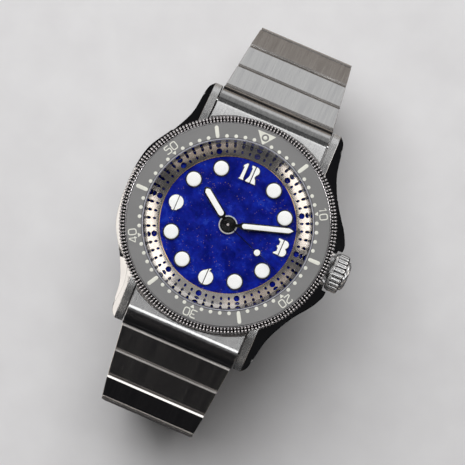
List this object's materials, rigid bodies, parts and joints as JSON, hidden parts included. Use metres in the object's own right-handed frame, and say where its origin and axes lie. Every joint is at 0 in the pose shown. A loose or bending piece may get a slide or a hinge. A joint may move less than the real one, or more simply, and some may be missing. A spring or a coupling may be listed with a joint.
{
  "type": "dive watch on a steel bracelet",
  "caption": "Round dive watch with a turning toothed bezel, grey insert, blue stone dial, three hands, screw crown and closed tapered link bracelet with a folding clasp.",
  "frame": {"origin": "centre of the case back's flat outer face, on the dial axis", "axes": "+Z out of the dial, +Y towards 12 o'clock, +X towards the crown at 3 o'clock"},
  "size_m": [0.0432, 0.076, 0.0427],
  "materials": {
    "balance_wheel": "gilt, polished",
    "bezel": "polished, coin edge",
    "bezel_click_spring": "fine satin brushed steel",
    "bezel_insert": "satin grey with cream markings",
    "bezel_pearl": "luminous cream",
    "case_back": "fine satin brushed steel",
    "case_back_gasket": "matte rubber",
    "clasp_cover": "fine satin brushed steel",
    "clasp_inner_blade": "polished steel",
    "clasp_outer_blade": "polished steel",
    "clasp_pusher_left": "polished steel",
    "clasp_pusher_right": "polished steel",
    "crown": "polished steel",
    "crown_stem": "fine satin brushed steel",
    "crown_tube": "fine satin brushed steel",
    "crystal": "polished clear sapphire",
    "crystal_gasket": "satin nylon",
    "dial": "polished deep blue stone veneer with gold flecks",
    "end_link_12": "fine satin brushed steel",
    "end_link_6": "fine satin brushed steel",
    "escape_wheel": "gilt",
    "hour_hand": "gloss black frame with white luminous fill",
    "hour_marker_01": "white luminous fill in a dark polished rim",
    "hour_marker_02": "white luminous fill in a dark polished rim",
    "hour_marker_04": "white luminous fill in a dark polished rim",
    "hour_marker_05": "white luminous fill in a dark polished rim",
    "hour_marker_07": "white luminous fill in a dark polished rim",
    "hour_marker_08": "white luminous fill in a dark polished rim",
    "hour_marker_10": "white luminous fill in a dark polished rim",
    "hour_marker_11": "white luminous fill in a dark polished rim",
    "link_12_1": "fine satin brushed steel",
    "link_12_2": "fine satin brushed steel",
    "link_12_3": "fine satin brushed steel",
    "link_12_4": "fine satin brushed steel",
    "link_12_5": "fine satin brushed steel",
    "link_12_6": "fine satin brushed steel",
    "link_12_7": "fine satin brushed steel",
    "link_12_8": "fine satin brushed steel",
    "link_6_1": "fine satin brushed steel",
    "link_6_2": "fine satin brushed steel",
    "link_6_3": "fine satin brushed steel",
    "link_6_4": "fine satin brushed steel",
    "link_6_5": "fine satin brushed steel",
    "link_6_6": "fine satin brushed steel",
    "link_6_7": "fine satin brushed steel",
    "link_6_8": "fine satin brushed steel",
    "main_plate": "grey plated, circular graining",
    "mainspring_barrel": "gilt, satin",
    "mid_case": "polished flanks, satin brushed lug tops",
    "minute_hand": "gloss black frame with white luminous fill",
    "numeral_12": "white luminous fill in a dark polished rim",
    "numeral_3": "white luminous fill in a dark polished rim",
    "numeral_6": "white luminous fill in a dark polished rim",
    "numeral_9": "white luminous fill in a dark polished rim",
    "pallet_fork": "polished steel",
    "rehaut_ring": "polished steel",
    "seconds_hand": "gloss black with a white luminous disc",
    "spring_bar_12": "polished steel",
    "spring_bar_6": "polished steel",
    "winding_rotor": "grey plated, satin"
  },
  "bodies": {
    "watch_case": {"mid_case": "mid_case", "case_back": "case_back", "case_back_gasket": "case_back_gasket", "crown_tube": "crown_tube", "crystal": "crystal", "crystal_gasket": "crystal_gasket", "rehaut_ring": "rehaut_ring", "dial": "dial", "bezel_click_spring": "bezel_click_spring", "end_link_12": "end_link_12", "end_link_6": "end_link_6", "spring_bar_12": "spring_bar_12", "spring_bar_6": "spring_bar_6", "main_plate": "main_plate", "hour_marker_01": "hour_marker_01", "hour_marker_02": "hour_marker_02", "hour_marker_04": "hour_marker_04", "hour_marker_05": "hour_marker_05", "hour_marker_07": "hour_marker_07", "hour_marker_08": "hour_marker_08", "hour_marker_10": "hour_marker_10", "hour_marker_11": "hour_marker_11", "numeral_12": "numeral_12", "numeral_3": "numeral_3", "numeral_6": "numeral_6", "numeral_9": "numeral_9"},
    "bezel": {"bezel": "bezel", "bezel_insert": "bezel_insert", "bezel_pearl": "bezel_pearl"},
    "crown_stem": {"crown_stem": "crown_stem"},
    "crown": {"crown": "crown"},
    "minute_hand": {"minute_hand": "minute_hand"},
    "hour_hand": {"hour_hand": "hour_hand"},
    "seconds_hand": {"seconds_hand": "seconds_hand"},
    "mainspring_barrel": {"mainspring_barrel": "mainspring_barrel"},
    "escape_wheel": {"escape_wheel": "escape_wheel"},
    "pallet_fork": {"pallet_fork": "pallet_fork"},
    "balance_wheel": {"balance_wheel": "balance_wheel"},
    "winding_rotor": {"winding_rotor": "winding_rotor"},
    "link_12_1": {"link_12_1": "link_12_1"},
    "link_12_2": {"link_12_2": "link_12_2"},
    "link_12_3": {"link_12_3": "link_12_3"},
    "link_12_4": {"link_12_4": "link_12_4"},
    "link_12_5": {"link_12_5": "link_12_5"},
    "link_12_6": {"link_12_6": "link_12_6"},
    "link_12_7": {"link_12_7": "link_12_7"},
    "link_12_8": {"link_12_8": "link_12_8"},
    "inner_blade": {"clasp_inner_blade": "clasp_inner_blade"},
    "outer_blade": {"clasp_outer_blade": "clasp_outer_blade"},
    "clasp_cover": {"clasp_cover": "clasp_cover"},
    "clasp_pusher_left": {"clasp_pusher_left": "clasp_pusher_left"},
    "clasp_pusher_right": {"clasp_pusher_right": "clasp_pusher_right"},
    "link_6_1": {"link_6_1": "link_6_1"},
    "link_6_2": {"link_6_2": "link_6_2"},
    "link_6_3": {"link_6_3": "link_6_3"},
    "link_6_4": {"link_6_4": "link_6_4"},
    "link_6_5": {"link_6_5": "link_6_5"},
    "link_6_6": {"link_6_6": "link_6_6"},
    "link_6_7": {"link_6_7": "link_6_7"},
    "link_6_8": {"link_6_8": "link_6_8"}
  },
  "joints": [
    {"name": "bezel_turn", "type": "hinge", "parent": "watch_case", "child": "bezel", "pos_m": [0, 0, 0.0095], "axis": [0, 0, 1], "continuous": true},
    {"name": "crown_pull", "type": "slide", "parent": "watch_case", "child": "crown_stem", "axis": [1, 0, 0], "range_m": [0, 0.002]},
    {"name": "crown_turn", "type": "hinge", "parent": "crown_stem", "child": "crown", "pos_m": [0.0215, 0, 0.0047], "axis": [1, 0, 0], "continuous": true},
    {"name": "minute_hand_turn", "type": "hinge", "parent": "watch_case", "child": "minute_hand", "pos_m": [0, 0, 0.009], "axis": [0, 0, -1], "continuous": true},
    {"name": "hour_hand_turn", "type": "hinge", "parent": "watch_case", "child": "hour_hand", "pos_m": [0, 0, 0.009], "axis": [0, 0, -1], "continuous": true},
    {"name": "seconds_hand_turn", "type": "hinge", "parent": "watch_case", "child": "seconds_hand", "pos_m": [0, 0, 0.009], "axis": [0, 0, -1], "continuous": true},
    {"name": "barrel_turn", "type": "hinge", "parent": "watch_case", "child": "mainspring_barrel", "pos_m": [-0.006, 0.0046, 0.0042], "axis": [0, 0, -1], "continuous": true},
    {"name": "escape_wheel_turn", "type": "hinge", "parent": "watch_case", "child": "escape_wheel", "pos_m": [-0.0043, -0.0052, 0.0043], "axis": [0, 0, -1], "continuous": true},
    {"name": "pallet_fork_rock", "type": "hinge", "parent": "watch_case", "child": "pallet_fork", "pos_m": [0.0004, -0.0066, 0.0049], "axis": [0, 0, 1], "range_deg": [-6, 6]},
    {"name": "balance_swing", "type": "hinge", "parent": "watch_case", "child": "balance_wheel", "pos_m": [0.0049, -0.006, 0.004], "axis": [0, 0, 1], "range_deg": [-270, 270]},
    {"name": "rotor_turn", "type": "hinge", "parent": "watch_case", "child": "winding_rotor", "pos_m": [0, 0, 0.003], "axis": [0, 0, 1], "continuous": true},
    {"name": "link_12_1_hinge", "type": "hinge", "parent": "watch_case", "child": "link_12_1", "pos_m": [0, 0.0229, 0.0026], "axis": [1, 0, 0], "range_deg": [0, 20]},
    {"name": "link_12_2_hinge", "type": "hinge", "parent": "link_12_1", "child": "link_12_2", "pos_m": [0, 0.02741, -0.00055], "axis": [1, 0, 0], "range_deg": [0, 8]},
    {"name": "link_12_3_hinge", "type": "hinge", "parent": "link_12_2", "child": "link_12_3", "pos_m": [0, 0.03191, -0.00371], "axis": [1, 0, 0], "range_deg": [0, 16]},
    {"name": "link_12_4_hinge", "type": "hinge", "parent": "link_12_3", "child": "link_12_4", "pos_m": [0, 0.03593, -0.00746], "axis": [1, 0, 0], "range_deg": [0, 45]},
    {"name": "link_12_5_hinge", "type": "hinge", "parent": "link_12_4", "child": "link_12_5", "pos_m": [0, 0.03641, -0.01294], "axis": [1, 0, 0], "range_deg": [0, 25]},
    {"name": "link_12_6_hinge", "type": "hinge", "parent": "link_12_5", "child": "link_12_6", "pos_m": [0, 0.03527, -0.01832], "axis": [1, 0, 0], "range_deg": [0, 28]},
    {"name": "link_12_7_hinge", "type": "hinge", "parent": "link_12_6", "child": "link_12_7", "pos_m": [0, 0.03235, -0.02298], "axis": [1, 0, 0], "range_deg": [0, 36]},
    {"name": "link_12_8_hinge", "type": "hinge", "parent": "link_12_7", "child": "link_12_8", "pos_m": [0, 0.02759, -0.02573], "axis": [1, 0, 0], "range_deg": [0, 32]},
    {"name": "inner_blade_hinge", "type": "hinge", "parent": "link_12_8", "child": "inner_blade", "pos_m": [0, 0.02212, -0.02631], "axis": [1, 0, 0], "range_deg": [0, 25]},
    {"name": "clasp_unfold", "type": "hinge", "parent": "inner_blade", "child": "outer_blade", "pos_m": [0, -0.01768, -0.02601], "axis": [-1, 0, 0], "range_deg": [0, 150]},
    {"name": "cover_hinge", "type": "hinge", "parent": "outer_blade", "child": "clasp_cover", "pos_m": [0, 0.01749, -0.02724], "axis": [1, 0, 0], "range_deg": [0, 150]},
    {"name": "clasp_pusher_left_press", "type": "slide", "parent": "clasp_cover", "child": "clasp_pusher_left", "axis": [1, 0, 0], "range_m": [0, 0.0006], "stiffness_N_per_m": 300},
    {"name": "clasp_pusher_right_press", "type": "slide", "parent": "clasp_cover", "child": "clasp_pusher_right", "axis": [-1, 0, 0], "range_m": [0, 0.0006], "stiffness_N_per_m": 300},
    {"name": "link_6_1_hinge", "type": "hinge", "parent": "watch_case", "child": "link_6_1", "pos_m": [0, -0.0229, 0.0026], "axis": [-1, 0, 0], "range_deg": [0, 20]},
    {"name": "link_6_2_hinge", "type": "hinge", "parent": "link_6_1", "child": "link_6_2", "pos_m": [0, -0.02771, -0.00007], "axis": [-1, 0, 0], "range_deg": [0, 8]},
    {"name": "link_6_3_hinge", "type": "hinge", "parent": "link_6_2", "child": "link_6_3", "pos_m": [0, -0.03252, -0.00273], "axis": [-1, 0, 0], "range_deg": [0, 20]},
    {"name": "link_6_4_hinge", "type": "hinge", "parent": "link_6_3", "child": "link_6_4", "pos_m": [0, -0.03661, -0.00641], "axis": [-1, 0, 0], "range_deg": [0, 45]},
    {"name": "link_6_5_hinge", "type": "hinge", "parent": "link_6_4", "child": "link_6_5", "pos_m": [0, -0.03699, -0.0119], "axis": [-1, 0, 0], "range_deg": [0, 26]},
    {"name": "link_6_6_hinge", "type": "hinge", "parent": "link_6_5", "child": "link_6_6", "pos_m": [0, -0.03566, -0.01724], "axis": [-1, 0, 0], "range_deg": [0, 28]},
    {"name": "link_6_7_hinge", "type": "hinge", "parent": "link_6_6", "child": "link_6_7", "pos_m": [0, -0.03259, -0.0218], "axis": [-1, 0, 0], "range_deg": [0, 36]},
    {"name": "link_6_8_hinge", "type": "hinge", "parent": "link_6_7", "child": "link_6_8", "pos_m": [0, -0.02773, -0.02438], "axis": [-1, 0, 0], "range_deg": [0, 32]}
  ],
  "couplings": [
    {"joint": "hour_hand_turn", "follows": "minute_hand_turn", "ratio": 0.083333},
    {"joint": "seconds_hand_turn", "follows": "minute_hand_turn", "ratio": 60},
    {"joint": "barrel_turn", "follows": "minute_hand_turn", "ratio": -0.125},
    {"joint": "cover_hinge", "follows": "clasp_unfold", "ratio": 1}
  ]
}
